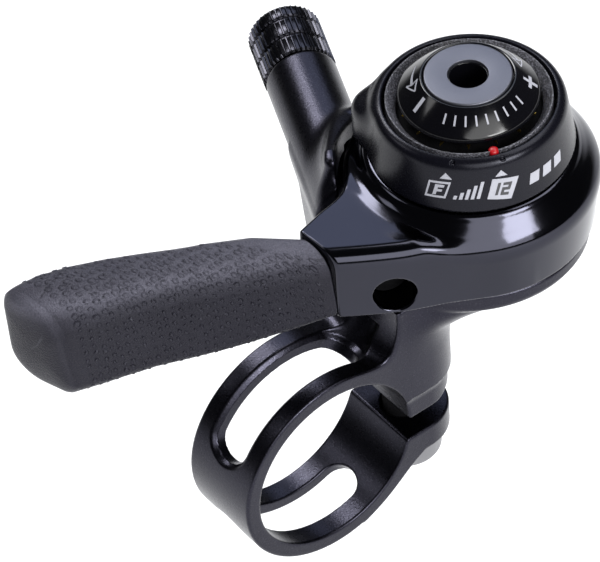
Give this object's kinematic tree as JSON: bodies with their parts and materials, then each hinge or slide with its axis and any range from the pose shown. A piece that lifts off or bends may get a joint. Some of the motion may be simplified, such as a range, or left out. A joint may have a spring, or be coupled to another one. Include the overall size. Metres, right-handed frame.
{
  "type": "bicycle thumb shifter",
  "caption": "Bicycle thumb shifter: clamp bracket with cable stop, rubber-gripped lever on an upright post, dial for index or friction, and tension knob.",
  "frame": {"origin": "centre of the handlebar bore, in the middle of the clamp band's width", "axes": "+X along the handlebar towards its free end, +Y from the handlebar to the lever hub, +Z along the lever's upright axis towards the tension knob"},
  "size_m": [0.0529, 0.0706, 0.0556],
  "materials": {
    "black_alloy": "black anodised, satin with a fine sparkle",
    "barrel_alloy": "black anodised, knurled",
    "bolt_steel": "zinc plated",
    "steel": "turned",
    "nylon": "plain",
    "polished_black": "polished, black anodised",
    "grip_rubber": "matte with small raised dots",
    "seal_rubber": "plain",
    "washer_brass": "plain",
    "friction_fibre": "pressed fibre",
    "cover_plastic": "satin with silver printed marks",
    "dial_plastic": "granular",
    "red_mark": "painted",
    "gloss_black": "glossy with silver printed marks",
    "grey_alloy": "satin, grey anodised"
  },
  "bodies": {
    "bracket": {"bracket": "black_alloy", "clamp_bolt": "bolt_steel", "stop_pin": "steel", "pivot_post": "steel", "base_washer": "nylon", "detent_ball_1": "steel", "detent_ball_2": "steel", "detent_carrier": "steel", "wave_spring": "steel", "pressure_plate": "steel", "friction_washer_lower": "washer_brass", "friction_disc": "friction_fibre", "friction_washer_upper": "washer_brass", "dust_seal": "seal_rubber", "cover": "cover_plastic", "spring_washer": "steel", "knob_washer": "washer_brass"},
    "lever": {"lever_body": "polished_black", "lever_bushing": "nylon", "grip": "grip_rubber", "index_ring": "steel"},
    "mode_ring": {"mode_ring": "dial_plastic", "mode_dot": "red_mark"},
    "knob": {"tension_knob": "gloss_black", "tension_screw": "grey_alloy"},
    "cable_seat": {"housing_seat": "washer_brass"},
    "barrel": {"barrel_adjuster": "barrel_alloy", "adjuster_o_ring": "seal_rubber"}
  },
  "joints": [
    {"name": "lever_swing", "type": "hinge", "parent": "bracket", "child": "lever", "pos_m": [0, 0.0262, 0.025], "axis": [0, 0, 1], "range_deg": [0, 150]},
    {"name": "mode_ring_turn", "type": "hinge", "parent": "bracket", "child": "mode_ring", "pos_m": [0, 0.0262, 0.036], "axis": [0, 0, 1], "range_deg": [-32, 0]},
    {"name": "tension_knob_turn", "type": "hinge", "parent": "bracket", "child": "knob", "pos_m": [0, 0.0262, 0.036], "axis": [0, 0, 1], "range_deg": [-90, 90]},
    {"name": "housing_seat_slide", "type": "slide", "parent": "bracket", "child": "cable_seat", "axis": [-0.9184, 0.3955, 0], "range_m": [0, 0.004]},
    {"name": "barrel_turn", "type": "hinge", "parent": "cable_seat", "child": "barrel", "pos_m": [0, 0.0109, 0.024], "axis": [-0.9184, 0.3955, 0], "range_deg": [0, 1440]}
  ],
  "couplings": [
    {"joint": "barrel_turn", "follows": "housing_seat_slide", "rad_per_m": 6283.2}
  ]
}
